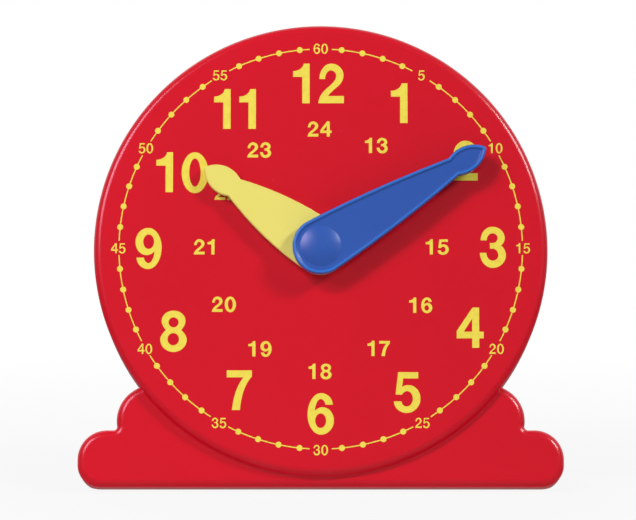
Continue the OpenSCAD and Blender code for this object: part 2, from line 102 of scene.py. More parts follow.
# Shafts and screws
PIPE_R = 3
PIN_R = 1.25
ARBOR_R = 1.5
SPIGOT_R = 2.6
SPIGOT_FLAT = 2.1
BOSS_WALL = 1.7
RUN_GAP = 0.05
BORE_FLOOR = 1
ARBOR_BOSS_D = 9.6
PIN_BOSS_D = 8.9
THRUST_BOSS_H = 0.8
SCREW_R = 1
HEAD_R = 2.2
HEAD_T = 1.2
HEAD_GAP = 0.2
SCREW_GRIP = 3.6
SCREW_BOSS_R = 3.2
SCREW_BOSS_GAP = 0.6
SEAT_D = BODY_T - HEAD_T - HEAD_GAP
SCREW_RING = DIAL_R - CAVITY_INSET - SCREW_BOSS_R - SCREW_BOSS_GAP
SCREW_ANGLE = 37.5

# Leg pocket
POCKET_X = 10.8
POCKET_H = 3.6
HINGE_ROOM = 2.7
POCKET_TOP = HINGE.y + HINGE_ROOM
PAN_WALL = 1.4
SCOOP_R = 9
SCOOP_SINK = 1.3

# Hands
MINUTE_HUB_R = 6.2
MINUTE_REACH = 42.6
MINUTE_NECK_W = 4.4
MINUTE_HEAD_W = 5.74
MINUTE_HEAD_ARC = 6.8
MINUTE_BOW = 0.5
HOUR_HUB_R = 6
HOUR_REACH = 31.2
HOUR_NECK_W = 4.6
HOUR_HEAD_W = 6
HOUR_HEAD_ARC = 6
HOUR_BOW = 1
TIP_R = 0.6
LEAST_TIP_R = 0.25
UNDER_EDGE = 0.15
HOUR_EDGE = 0.35
RIM_CREST = 0.45
RIM_SLOPE = 0.7
HOUR_Z = 0.9
HOUR_T = 1.6
MINUTE_Z = 2.9
MINUTE_T = 2.2
HAND_GAP = 0.4
RIM_H = 0.4
DOME_R = 4.5
DOME_H = 0.9
COLLAR_WALL = 0.9
LAP = 0.1
# Clockwise from the top; past 10, the hour hand has a twelfth of the minute hand's angle
MINUTE_ANGLE = 59
HOUR_ANGLE = 304.92

# Print
INK = 0.03
HOUR_FIGURES_X = 38.1
HOUR_FIGURES_Y = 36.9
MINUTE_FIGURES_R = 44.8
HOUR_FIGURE_H = 8.95
DAY_FIGURE_H = 3.4
MINUTE_FIGURE_H = 2.25
RING_R = 44.65
RING_LIFT = 0.15
DOT_R = 0.66
LINE_W = 0.25
LINE_GAP = (2.05, 3.15)

# Tools reach past what they cut by OVER, and bosses are sunk into their wall by SINK
OVER = 1
SINK = 0.5


# ---------- modelling by hand ----------

def pick(*pieces):
    """Selects these pieces alone and makes the first one active."""
    bpy.ops.object.select_all(action="DESELECT")
    for piece in pieces:
        piece.select_set(True)
    bpy.context.view_layer.objects.active = pieces[0]


@contextmanager
def editing(piece):
    """Edit mode on one piece, with all its points selected."""
    pick(piece)
    bpy.ops.object.mode_set(mode="EDIT")
    bpy.ops.mesh.select_mode(type="VERT")
    bpy.ops.mesh.select_all(action="SELECT")
    yield
    bpy.ops.object.mode_set(mode="OBJECT")


def drawn(name, points, faces=(), edges=()):
    """A new mesh of a few drawn points."""
    mesh = bpy.data.meshes.new(name)
    mesh.from_pydata([tuple(p) for p in points], edges, faces)
    piece = bpy.data.objects.new(name, mesh)
    bpy.context.scene.collection.objects.link(piece)
    return piece


def grown(name, levels):
    """A closed body through a stack of (outline, z): the first outline is filled, then extruded
    and drawn in to each next one."""
    outline, z = levels[0]
    piece = drawn(name, [(x, y, z) for x, y in outline], [list(range(len(outline)))])
    with editing(piece):
        for (before, _), (after, z) in zip(levels, levels[1:]):
            bpy.ops.mesh.extrude_region_move()
            tree = KDTree(len(before))
            for i, (x, y) in enumerate(before):
                tree.insert((x, y, 0), i)
            tree.balance()
            mesh = bmesh.from_edit_mesh(piece.data)
            for vert in mesh.verts:
                if vert.select:
                    i = tree.find((vert.co.x, vert.co.y, 0))[1]
                    vert.co = (*after[i], z)
            bmesh.update_edit_mesh(piece.data)
        bpy.ops.mesh.select_all(action="SELECT")
        bpy.ops.mesh.normals_make_consistent(inside=False)
    return piece


def spun(name, profile, steps=96):
    """A body turned round Z from a profile of (radius, z)."""
    run = range(len(profile) - 1)
    piece = drawn(name, [(r, 0, z) for r, z in profile], edges=[(i, i + 1) for i in run])
    with editing(piece):
        bpy.ops.mesh.spin(steps=steps, angle=2 * pi, center=(0, 0, 0), axis=(0, 0, 1))
        bpy.ops.mesh.select_all(action="SELECT")
        bpy.ops.mesh.remove_doubles(threshold=0.001)
        bpy.ops.mesh.normals_make_consistent(inside=False)
    return piece


def post(r, z0, z1, at=(0, 0), steps=64):
    """A round bar along Z, as a tool for joining and cutting."""
    bpy.ops.mesh.primitive_cylinder_add(
        vertices=steps, radius=r, depth=z1 - z0, location=(*at, (z0 + z1) / 2)
    )
    bpy.ops.object.transform_apply(location=True)
    return bpy.context.object


def block(low, high):
    """A box between two corners, as a tool for joining and cutting."""
    size = Vector(high) - Vector(low)
    bpy.ops.mesh.primitive_cube_add(size=1)
    piece = bpy.context.object
    piece.data.transform(Matrix.Translation(Vector((0.5, 0.5, 0.5))))
    piece.data.transform(Matrix.Diagonal((*size, 1)))
    piece.data.transform(Matrix.Translation(Vector(low)))
    return piece


def joined(pieces, name=None):
    """Several meshes as one object."""
    pick(*pieces)
    if len(pieces) > 1:
        bpy.ops.object.join()
    if name:
        pieces[0].name = name
        pieces[0].data.name = name
    return pieces[0]


def copied(piece, place):
    """A copy with its own mesh, moved by a matrix."""
    twin = piece.copy()
    twin.data = piece.data.copy()
    twin.data.transform(place)
    bpy.context.scene.collection.objects.link(twin)
    return twin


def apply_modifier(piece, kind, **settings):
    """Gives a piece one modifier with these settings and applies it."""
    pick(piece)
    modifier = piece.modifiers.new(kind.lower(), kind)
    for name, value in settings.items():
        setattr(modifier, name, value)
    bpy.ops.object.modifier_apply(modifier=modifier.name)


def combine(piece, tool, operation):
    """UNION, DIFFERENCE or INTERSECT of a piece with a tool, which is used up."""
    apply_modifier(piece, "BOOLEAN", object=tool, operation=operation, solver="EXACT")
    bpy.data.objects.remove(tool)


def smooth(piece, angle=32):
    """Closes the hairline cracks that joining leaves, then shades rounded edges smooth and keeps
    flat faces flat."""
    with editing(piece):
        bpy.ops.mesh.remove_doubles(threshold=0.006)
    pick(piece)
    bpy.ops.object.shade_smooth_by_angle(angle=radians(angle))
    apply_modifier(piece, "WEIGHTED_NORMAL", keep_sharp=True, weight=100)


def settle(piece, body, finish, replaces=()):
    """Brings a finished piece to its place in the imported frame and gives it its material."""
    piece.data.transform(PLACE)
    piece.data.materials.clear()
    piece.data.materials.append(finish)
    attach(piece, body)
    if replaces:
        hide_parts(*replaces)
    return piece


# ---------- outlines ----------

def arc(centre, r, start, end, steps):
    """Points along an arc, both ends included, angles in degrees."""
    angles = [radians(start + (end - start) * i / steps) for i in range(steps + 1)]
    return [(centre[0] + r * cos(a), centre[1] + r * sin(a)) for a in angles]


def mirrored(right):
    """Closes the right half of an outline, drawn upwards, with its mirror image."""
    return right + [(-x, y) for x, y in reversed(right)]


def circle(r, steps=256):
    """Outline of a round piece on the hand axis."""
    return arc((0, 0), r, 0, 360, steps)[:-1]


def foot_side(inset, end):
    """Right side of the foot, drawn in by inset: bottom corner, lower lobe, soft notch, and upper
    lobe up to its end angle."""
    lobe = Vector((CLOUD_X, CLOUD_H - CLOUD_R - AXIS_H))
    notch_y = FOOT_H + NOTCH_R - AXIS_H
    notch_x = lobe.x + sqrt((CLOUD_R + NOTCH_R) ** 2 - (notch_y - lobe.y) ** 2)
    meet = degrees(atan2(notch_y - lobe.y, notch_x - lobe.x))
    return (
        arc((CORNER_X, CORNER_R - AXIS_H), CORNER_R - inset, -90, 0, 12)
        + arc((LOBE_X, FOOT_H - LOBE_R - AXIS_H), LOBE_R - inset, 0, 90, 20)
        + arc((notch_x, notch_y), NOTCH_R + inset, 270, meet + 180, 8)
        + arc(lobe, CLOUD_R - inset, meet, end, 28)[1:]
    )


def cloud(inset):
    """Outline of the cloud-shaped foot, drawn in by inset."""
    return mirrored(foot_side(inset, 90))


def housing_outline(inset):
    """Outline of dial and foot together, drawn in by inset."""
    centre = Vector((CLOUD_X, CLOUD_H - CLOUD_R - AXIS_H))
    r = CLOUD_R - inset
    dial_r = DIAL_R - inset
    along = (dial_r ** 2 - r ** 2 + centre.length_squared) / (2 * centre.length)
    aside = sqrt(dial_r ** 2 - along ** 2)
    way = centre.normalized()
    meet = along * way + aside * Vector((-way.y, way.x))
    lobe_end = degrees(atan2(meet.y - centre.y, meet.x - centre.x))
    dial_start = degrees(atan2(meet.y, meet.x))
    # The last point stops half a step short of the top, and its mirror image closes the round.
    steps = 72
    reach = dial_start + (90 - dial_start) * steps / (steps + 0.5)
    return mirrored(
        foot_side(inset, lobe_end)
        + arc((0, 0), dial_r, dial_start, reach, steps)[1:]
    )


def rounded_levels(outline, z_edge, z_face, r, steps=10):
    """Outlines of a rounded edge between a side wall and a face that looks to z_face."""
    up = 1 if z_face > z_edge else -1
    turns = [pi / 2 * i / steps for i in range(steps + 1)]
    return [(outline(r * (1 - cos(a))), z_face - up * r * (1 - sin(a))) for a in turns]


def hand_outline(hub_r, reach, neck_w, head_w, head_arc, bow, inset):
    """Outline of a hand that points along +Y: hub, bowed blade and leaf-shaped head."""
    off = head_arc - head_w / 2
    head_y = reach - TIP_R - sqrt((head_arc - TIP_R) ** 2 - off ** 2)
    arc_r = head_arc - inset
    neck_y = head_y - sqrt(arc_r ** 2 - (off + neck_w / 2 - inset) ** 2)
    tip = max(TIP_R - inset, LEAST_TIP_R)
    tip_y = head_y + sqrt((arc_r - tip) ** 2 - off ** 2)
    neck_angle = degrees(atan2(neck_y - head_y, off + neck_w / 2 - inset))
    tip_angle = degrees(atan2(tip_y - head_y, off))
    blade = []
    steps = 20
    for i in range(1, steps):
        s = i / steps
        half = hub_r + (neck_w / 2 - hub_r) * s + 4 * bow * s * (1 - s) - inset
        blade.append((half, neck_y * s))
    return mirrored(
        arc((0, 0), hub_r - inset, -88, 0, 30)
        + blade
        + arc((-off, head_y), arc_r, neck_angle, tip_angle, 24)
        + arc((0, tip_y), tip, tip_angle, 86, 5)[1:]
    )


def minute_outline(inset):
    return hand_outline(
        MINUTE_HUB_R, MINUTE_REACH, MINUTE_NECK_W, MINUTE_HEAD_W, MINUTE_HEAD_ARC, MINUTE_BOW, inset
    )


def hour_outline(inset):
    return hand_outline(
        HOUR_HUB_R, HOUR_REACH, HOUR_NECK_W, HOUR_HEAD_W, HOUR_HEAD_ARC, HOUR_BOW, inset
    )


# ---------- housing ----------

def screw_places():
    """Centres of the two screws in the dial's ring and of the two in the foot."""
    ring = [
        (side * SCREW_RING * cos(radians(SCREW_ANGLE)), SCREW_RING * sin(radians(SCREW_ANGLE)))
        for side in (-1, 1)
    ]
    foot = [(side * (LOBE_X - SCREW_BOSS_R), FOOT_H / 2 - AXIS_H) for side in (-1, 1)]
    return ring, foot


def shell_levels(outline, z_face, r):
    """Side wall with a fine broken edge at the parting line, and the rounded edge of a face."""
    toward = 1 if z_face > -SPLIT_D else -1
    seam = [(outline(SEAM), -SPLIT_D), (outline(0), -SPLIT_D + toward * SEAM)]
    return seam + rounded_levels(outline, -SPLIT_D, z_face, r)


def crease_ring():
    """Soft fillet between the dial's edge and the face of the foot."""
    # The land is a hair smaller than the face of the foot, so that their edges don't coincide.
    slack = 0.02
    edge_r = DIAL_R - FRONT_ROUND
    lift = CREASE_R + FRONT_ROUND - DIAL_STEP
    span = sqrt((FRONT_ROUND + CREASE_R) ** 2 - lift ** 2)
    centre_r = edge_r + span
    centre_z = CREASE_R - DIAL_STEP
    end = 180 - degrees(asin(lift / (FRONT_ROUND + CREASE_R)))
    low = -DIAL_STEP - OVER
    profile = [(edge_r - OVER, low), (centre_r, low)]
    profile += arc((centre_r, centre_z), CREASE_R, 270, end + 2 * (180 - end), 10)
    profile.append((edge_r - OVER, profile[-1][1]))
    profile.append(profile[0])
    ring = spun("crease", profile, 256)
    face = cloud(FRONT_ROUND + slack)
    land = grown("land", [(face, low - OVER), (face, 0)])
    combine(ring, land, "INTERSECT")
    return ring


def front_shell(finish):
    """Dial, foot face and side walls in one hollow moulding."""
    shell = grown("front_shell", shell_levels(lambda inset: circle(DIAL_R - inset), 0, FRONT_ROUND))
    combine(shell, grown("foot", shell_levels(cloud, -DIAL_STEP, FRONT_ROUND)), "UNION")
    combine(shell, crease_ring(), "UNION")
    for hollow, depth in ((circle(DIAL_R - WALL), WALL), (cloud(WALL), DIAL_STEP + WALL)):
        cavity = grown("cavity", [(hollow, -SPLIT_D - OVER), (hollow, -depth)])
        combine(shell, cavity, "DIFFERENCE")
    ring, foot = screw_places()
    boss_z = -WALL - THRUST_BOSS_H
    bosses = [post(PIPE_R + BOSS_WALL, boss_z, -WALL / 2)]
    bosses.append(post(PIN_R + BOSS_WALL, boss_z, -WALL / 2, (0, TRAIN_Y)))
    bosses += [post(SCREW_BOSS_R, -SPLIT_D, -WALL / 2, at) for at in ring]
    bosses += [post(SCREW_BOSS_R, -SPLIT_D, -DIAL_STEP - WALL / 2, at) for at in foot]
    combine(shell, joined(bosses), "UNION")
    bores = [post(PIPE_R + RUN_GAP, -SPLIT_D, OVER)]
    bores.append(post(PIN_R, -SPLIT_D, -WALL / 2, (0, TRAIN_Y)))
    top = SCREW_GRIP + HEAD_GAP - SPLIT_D
    bores += [post(SCREW_R, -SPLIT_D - OVER, top, at) for at in ring + foot]
    combine(shell, joined(bores), "DIFFERENCE")
    smooth(shell)
    return settle(shell, "housing", finish, ["front_housing"])


def rear_shell(finish):
    """Back cover with its leg pocket, finger scoops, screw seats and level strip."""
    shell = grown("rear_shell", shell_levels(housing_outline, -BODY_T, BACK_ROUND))
    floor_z = -BODY_T + WALL
    # The foot's hollow is a hair smaller, so that the screw bosses run into its wall.
    slack = 0.05
    for hollow in (circle(DIAL_R - CAVITY_INSET), cloud(CAVITY_INSET + slack)):
        cavity = grown("cavity", [(hollow, floor_z), (hollow, OVER - SPLIT_D)])
        combine(shell, cavity, "DIFFERENCE")
    low = (-POCKET_X - PAN_WALL, CAVITY_INSET - TONGUE_T - AXIS_H, floor_z - OVER)
    high = (POCKET_X + PAN_WALL, POCKET_TOP + PAN_WALL, POCKET_H + PAN_WALL - BODY_T)
    combine(shell, block(low, high), "UNION")
    ring, foot = screw_places()
    bosses = [post(SCREW_BOSS_R, floor_z - SINK, -SPLIT_D, at) for at in ring + foot]
    bosses.append(post(ARBOR_R + BOSS_WALL, floor_z - SINK, -ARBOR_BOSS_D))
    bosses.append(post(PIN_R + BOSS_WALL, floor_z - SINK, -PIN_BOSS_D, (0, TRAIN_Y)))
    combine(shell, joined(bosses), "UNION")
    bores = [post(ARBOR_R + RUN_GAP, BORE_FLOOR - BODY_T, 0)]
    bores.append(post(PIN_R, BORE_FLOOR - BODY_T, 0, (0, TRAIN_Y)))
    bores += [post(SCREW_R + HEAD_GAP, -SEAT_D - OVER, 0, at) for at in ring + foot]
    combine(shell, joined(bores), "DIFFERENCE")
    seats = [post(HEAD_R + HEAD_GAP, -BODY_T - OVER, -SEAT_D, at) for at in ring + foot]
    combine(shell, joined(seats), "DIFFERENCE")
    low = (-POCKET_X, -AXIS_H - OVER, -BODY_T - OVER)
    combine(shell, block(low, (POCKET_X, POCKET_TOP, POCKET_H - BODY_T)), "DIFFERENCE")
    for side in (-1, 1):
        bpy.ops.mesh.primitive_uv_sphere_add(
            segments=96, ring_count=48, radius=SCOOP_R,
            location=(side * POCKET_X, FOOT_H - AXIS_H, SCOOP_SINK - BODY_T - SCOOP_R),
        )
        bpy.ops.object.transform_apply(location=True)
        combine(shell, bpy.context.object, "DIFFERENCE")
    under = block((-FOOT_W, -FOOT_H, -BODY_T), (FOOT_W, 0, LAND_D))
    under.data.transform(
        Matrix.Translation((0, -AXIS_H, -LAND_D)) @ Matrix.Rotation(LEAN, 4, "X")
    )
    combine(shell, under, "DIFFERENCE")
    smooth(shell)
    return settle(shell, "housing", finish, ["rear_cover"])


def pan_screws(finish):
    """Four pan-head screws with cross recesses, each turned its own way."""
    edge_r = 0.55
    slot_x, slot_y, slot_h = 1.3, 0.34, 0.72
    angles = [radians(a) for a in (0, 22, 45, 68, 90)]
    crown = [(HEAD_R - edge_r * (1 - cos(a)), edge_r - HEAD_T - edge_r * sin(a)) for a in angles]
    dish = [(HEAD_R * 0.45, -HEAD_T - 0.08), (0, -HEAD_T - 0.1)]
    shank = SEAT_D - SPLIT_D + SCREW_GRIP
    neck = [(0, shank), (SCREW_R * 0.7, shank), (SCREW_R, shank - 0.5), (SCREW_R, 0)]
    screw = spun("pan_screws", neck + [(HEAD_R, 0)] + crown + dish, 48)
    recess = []
    for turn in (0, 90):
        wing = block((-slot_x, -slot_y, -HEAD_T - OVER), (slot_x, slot_y, slot_h - HEAD_T))
        wing.data.transform(Matrix.Rotation(radians(turn), 4, "Z"))
        recess.append(wing)
    combine(recess[0], recess[1], "UNION")
    combine(screw, recess[0], "DIFFERENCE")
    ring, foot = screw_places()
    turns = (12, 71, 38, 55)
    screws = [
        copied(screw, Matrix.Translation((*at, -SEAT_D)) @ Matrix.Rotation(radians(turn), 4, "Z"))
        for at, turn in zip(ring + foot, turns)
    ]
    bpy.data.objects.remove(screw)
    screws = joined(screws, "pan_screws")
    smooth(screws, 30)
    return settle(screws, "housing", finish, ["cover_screws"])


# ---------- hands ----------

def hour_blade(finish):
    """Flat yellow hand with softly broken edges, seated on the hour pipe's flattened end."""
    top = HOUR_Z + HOUR_T
    levels = rounded_levels(hour_outline, top, HOUR_Z, UNDER_EDGE, 3)[::-1]
    levels += rounded_levels(hour_outline, HOUR_Z, top, HOUR_EDGE, 6)
    hand = grown("hour_blade", levels)
    half = degrees(acos(SPIGOT_FLAT / SPIGOT_R))
    turns = [90 + half + i * 5 for i in range(73)]
    last = 450 - half
    hole = [(SPIGOT_R * cos(radians(a)), SPIGOT_R * sin(radians(a))) for a in turns if a <= last]
    combine(hand, grown("hole", [(hole, 0), (hole, top + OVER)]), "DIFFERENCE")
    hand.data.transform(Matrix.Rotation(-radians(HOUR_ANGLE), 4, "Z"))
    smooth(hand)
    return settle(hand, "hour_train", finish, ["hour_hand"])


def minute_blade(finish):
    """Blue hand with a raised rim round a sunk floor, and a low dome on its hub."""
    top = MINUTE_Z + MINUTE_T
    floor = top - RIM_H
    levels = rounded_levels(minute_outline, top, MINUTE_Z, UNDER_EDGE, 3)[::-1]
    levels += rounded_levels(minute_outline, MINUTE_Z, top, RIM_CREST, 6)
    steps = 8
    for i in range(1, steps + 1):
        drop = RIM_H * (1 - cos(pi * i / steps)) / 2
        levels.append((minute_outline(RIM_CREST + RIM_SLOPE * i / steps), top - drop))
    hand = grown("minute_blade", levels)
    ball = (DOME_R ** 2 + DOME_H ** 2) / (2 * DOME_H)
    sweep = asin(DOME_R / ball)
    steps = 16
    crown = [
        (ball * sin(sweep * i / steps), floor + DOME_H - ball * (1 - cos(sweep * i / steps)))
        for i in range(steps + 1)
    ]
    dome = spun("dome", crown + [(DOME_R, floor - LAP), (0, floor - LAP)])
    collar = post(ARBOR_R + COLLAR_WALL, MINUTE_Z - HAND_GAP + LAP, MINUTE_Z + LAP)
    hand = joined([hand, dome, collar])
    hand.data.transform(Matrix.Rotation(-radians(MINUTE_ANGLE), 4, "Z"))
    smooth(hand)
    return settle(hand, "minute_train", finish, ["minute_hand"])


# ---------- figures on the dial ----------

# A figure is drawn in a cell 710 units high. A knot is (x, y) for a corner, (x, y, way) for a
# smooth point, or (x, y, way in, way out); a way is the pen's direction in degrees, and None
# goes straight to the neighbour.
CELL_H = 710
CELL_W = 556


def oval(x0, y0, x1, y1):
    """Knots of an oval that fills a box."""
    middle_x, middle_y = (x0 + x1) / 2, (y0 + y1) / 2
    return [(middle_x, y1, 180), (x0, middle_y, 270), (middle_x, y0, 0), (x1, middle_y, 90)]


SIX = [
    [
        (495, 507, None, 92), (280, 710, 180), (31, 330, 270), (276, -19, 0), (516, 231, 90),
        (310, 463, 180), (162, 398, 222, 84), (274, 605, 0), (361, 507, 280, None),
    ],
    oval(172, 97, 372, 354),
]

FIGURES = {
    "0": [oval(32, -19, 524, 710), oval(172, 97, 384, 598)],
    "1": [[
        (239, 0), (377, 0), (377, 710), (268, 710, None, 262), (69, 576, 180, None), (69, 472),
        (239, 472),
    ]],
    "2": [[
        (46, 434, None, 90), (264, 710, 0), (495, 497, 270), (405, 318, 222),
        (207, 130, 235, None), (500, 130), (500, 0), (26, 0, None, 86), (150, 237, 42),
        (357, 490, 90), (260, 588, 180), (152, 434, 270, None),
    ]],
    "3": [[
        (40, 470, None, 90), (256, 710, 0), (487, 514, 270), (418, 377, 215, 325),
        (508, 205, 270), (262, -19, 180), (27, 248, 90, None), (147, 248, None, 270),
        (262, 110, 0), (368, 205, 90), (262, 323, 180, None), (214, 323), (214, 421),
        (262, 421, None, 0), (356, 514, 90), (258, 594, 180), (156, 470, 270, None),
    ]],
    "4": [
        [
            (313, 0), (444, 0), (444, 166), (526, 166), (526, 284), (444, 284), (444, 710),
            (321, 710), (27, 292), (27, 166), (313, 166),
        ],
        [(158, 284), (313, 284), (313, 513)],
    ],
    "5": [[
        (106, 698), (477, 698), (477, 588), (199, 588), (178, 438, None, 38), (300, 470, 0),
        (516, 235, 270), (264, -19, 180), (27, 185, 90, None), (167, 185, None, 272),
        (264, 95, 0), (376, 232, 90), (270, 366, 180), (176, 304, 235, None), (58, 304),
    ]],
    "6": SIX,
    "7": [[
        (25, 698), (488, 698), (488, 590, None, 226), (268, 0, 264, None), (121, 0, None, 83),
        (331, 575, 50, None), (25, 575),
    ]],
    "8": [
        [
            (277, 710, 180), (57, 530, 270), (132, 369, 310, 226), (32, 200, 270), (277, -19, 0),
            (521, 200, 90), (420, 369, 134, 50), (496, 530, 90),
        ],
        oval(184, 415, 369, 592),
        oval(167, 99, 378, 314),
    ],
    "9": [
        [(552 - knot[0], 691 - knot[1], *[w if w is None else w + 180 for w in knot[2:]])
         for knot in contour]
        for contour in SIX
    ],
}


def handle(way, chord, turn):
    """Bezier handle along a way, as long as a circular arc of that turn needs."""
    if way is None:
        return chord / 3
    ahead = Vector((cos(radians(way)), sin(radians(way))))
    share = 4 / 3 * tan(turn / 4) / sin(turn) if turn > 0.05 else 1 / 3
    return ahead * abs(chord.dot(ahead)) * share


def turned(way_out, way_in, chord):
    """Turn between the ways at both ends of a stretch, or twice that to its chord."""
    along = degrees(atan2(chord.y, chord.x))
    start = along if way_out is None else way_out
    end = along if way_in is None else way_in
    turn = abs((end - start + 180) % 360 - 180)
    if way_out is None or way_in is None:
        turn *= 2
    return radians(min(turn, 110))


def figure_mesh(digit, thin):
    """One digit as a flat slab of ink in its cell, its strokes made thinner by thin units."""
    curve = bpy.data.curves.new("figure_" + digit, "CURVE")
    curve.dimensions = "2D"
    curve.fill_mode = "BOTH"
    curve.resolution_u = 10
    curve.offset = -thin
    curve.extrude = 1
    for knots in FIGURES[digit]:
        spline = curve.splines.new("BEZIER")
        spline.bezier_points.add(len(knots) - 1)
        spline.use_cyclic_u = True
        for i, (point, knot) in enumerate(zip(spline.bezier_points, knots)):
            before, after = knots[i - 1], knots[(i + 1) % len(knots)]
            here = Vector(knot[:2])
            way_in, way_out = (knot[2], knot[-1]) if len(knot) > 2 else (None, None)
            before_out = before[-1] if len(before) > 2 else None
            after_in = after[2] if len(after) > 2 else None
            chord_in, chord_out = here - Vector(before[:2]), Vector(after[:2]) - here
            turn_in = turned(before_out, way_in, chord_in)
            turn_out = turned(way_out, after_in, chord_out)
            point.co = (*here, 0)
            point.handle_left_type = point.handle_right_type = "FREE"
            point.handle_left = (*(here - handle(way_in, chord_in, turn_in)), 0)
            point.handle_right = (*(here + handle(way_out, chord_out, turn_out)), 0)
    digit_piece = bpy.data.objects.new("figure_" + digit, curve)
    bpy.context.scene.collection.objects.link(digit_piece)
    pick(digit_piece)
    bpy.ops.object.convert(target="MESH")
    digit_piece = bpy.context.object
    with editing(digit_piece):
        bpy.ops.mesh.remove_doubles(threshold=0.5)
        bpy.ops.mesh.normals_make_consistent(inside=False)
    return digit_piece


def figure_span(digit):
    """Left and right end of a digit's ink in its cell."""
    xs = [knot[0] for contour in FIGURES[digit] for knot in contour]
    return min(xs), max(xs)


def own_gap(digit, following):
    """Space between two digits whose cells stand side by side."""
    return CELL_W - figure_span(digit)[1] + figure_span(following)[0]


def printed(name, words, height, wide, gap, thin, finish):
    """Numbers of one height, each (text, centre x, centre y); wide stretches the digits, and gap
    is the space between them as a share of their height, or None for that of their cells."""
    digits = {}
    pieces = []
    scale = height / (CELL_H - 2 * thin)
    for text, x, y in words:
        widths = [(figure_span(c)[1] - figure_span(c)[0] - 2 * thin) * scale * wide for c in text]
        gaps = [
            own_gap(*pair) * scale * wide if gap is None else gap * height
            for pair in zip(text, text[1:])
        ]
        left = x - (sum(widths) + sum(gaps)) / 2
        for digit, width, after in zip(text, widths, gaps + [0]):
            if digit not in digits:
                digits[digit] = figure_mesh(digit, thin)
            start = figure_span(digit)[0] + thin
            place = (
                Matrix.Translation((left, y - height / 2, INK / 2))
                @ Matrix.Diagonal((scale * wide, scale, INK / 2, 1))
                @ Matrix.Translation((-start, -thin, 0))
            )
            pieces.append(copied(digits[digit], place))
            left += width + after
    for digit in digits.values():
        bpy.data.objects.remove(digit)
    return settle(joined(pieces, name), "housing", finish)


def on_dial(step, across, up, nudge=(0, 0)):
    """Place of a number on the dial: step is in twelfths of a turn, clockwise from the top."""
    a = radians(30 * step)
    return across * sin(a) + nudge[0], up * cos(a) + nudge[1]


def dial_print(finish):
    """The hours 1 to 12, the hours 13 to 24 inside them, and the minutes round the edge."""
    nudges = {
        1: (-1.6, 0.65), 2: (-1, 1.25), 3: (0, 0.4), 4: (0, 0.85), 6: (0, 0.3), 7: (1.1, 0.55),
        8: (0.5, 0.15), 10: (2.3, -1.35), 11: (0, -0.65), 12: (-0.5, 0.15),
    }
    hours = [
        (str(hour), *on_dial(hour, HOUR_FIGURES_X, HOUR_FIGURES_Y, nudges.get(hour, (0, 0.15))))
        for hour in range(1, 13)
    ]
    printed("hour_figures", hours, HOUR_FIGURE_H, wide=0.95, gap=0.215, thin=0, finish=finish)
    places = [
        (12.35, 23.1), (21.4, 12.6), (25.8, 0.4), (22.1, -12.6), (12.8, -22.2), (-0.15, -27.3),
        (-13.4, -22.3), (-21.4, -12.4), (-25.8, 0.4), (-20.95, 12.6), (-13.65, 22.1), (-0.25, 26.8),
    ]
    days = [(str(hour), *at) for hour, at in zip(range(13, 25), places)]
    printed("day_figures", days, DAY_FIGURE_H, wide=1.06, gap=None, thin=0, finish=finish)
    minutes = [
        (str(minute), *on_dial(minute / 5, MINUTE_FIGURES_R, MINUTE_FIGURES_R, (0, 0.1)))
        for minute in range(5, 65, 5)
    ]
    printed("minute_figures", minutes, MINUTE_FIGURE_H, wide=0.98, gap=None, thin=13, finish=finish)


def ring_line(start, end):
    """Fine line along the ring between two angles, clockwise from the top."""
    inner, outer = RING_R - LINE_W / 2, RING_R + LINE_W / 2
    corners = [(0, inner, 0), (0, outer, 0), (0, outer, INK), (0, inner, INK)]
    line = drawn("line", corners, [(0, 1, 2, 3)])
    with editing(line):
        bpy.ops.mesh.spin(steps=16, angle=radians(end - start), center=(0, 0, 0), axis=(0, 0, 1))
        bpy.ops.mesh.select_all(action="SELECT")
        bpy.ops.mesh.normals_make_consistent(inside=False)
    line.data.transform(Matrix.Rotation(radians(-start), 4, "Z"))
    return line


def minute_ring(finish):
    """Dots at the minutes between the figures, strung on a line that stops short of the figures."""
    dot = grown("dot", [(circle(DOT_R, 32), 0), (circle(DOT_R, 32), INK * 1.2)])
    pieces = []
    for gap in range(12):
        clear = [
            LINE_GAP[0] + (LINE_GAP[1] - LINE_GAP[0]) * cos(radians(30 * step)) ** 2
            for step in (gap, gap + 1)
        ]
        pieces.append(ring_line(30 * gap + clear[0], 30 * gap + 30 - clear[1]))
        for minute in range(1, 5):
            place = Matrix.Rotation(radians(-30 * gap - 6 * minute), 4, "Z")
            pieces.append(copied(dot, place @ Matrix.Translation((0, RING_R, 0))))
    bpy.data.objects.remove(dot)
    ring = joined(pieces, "minute_ring")
    ring.data.transform(Matrix.Translation((0, RING_LIFT, 0)))
    settle(ring, "housing", finish)


# ---------- materials ----------

class Wire:
    """A number in a material. An expression on wires adds the Math nodes it stands for."""

    def __init__(self, finish, socket):
        self.finish = finish
        self.socket = socket

    def math(self, operation, *values):
        return self.finish.node("Math", {"operation": operation}, dict(enumerate(values)))[0]

    def __add__(self, other):
        return self.math("ADD", self, other)

    def __sub__(self, other):
        return self.math("SUBTRACT", self, other)

    def __rsub__(self, other):
        return self.math("SUBTRACT", other, self)

    def __mul__(self, other):
        return self.math("MULTIPLY", self, other)

    __radd__ = __add__
    __rmul__ = __mul__

    def above(self, low, high):
        """0 below low, 1 above high, straight in between."""
        settings = {"clamp": True}
        return self.finish.node("MapRange", settings, {0: self, 1: low, 2: high, 3: 0, 4: 1})[0]


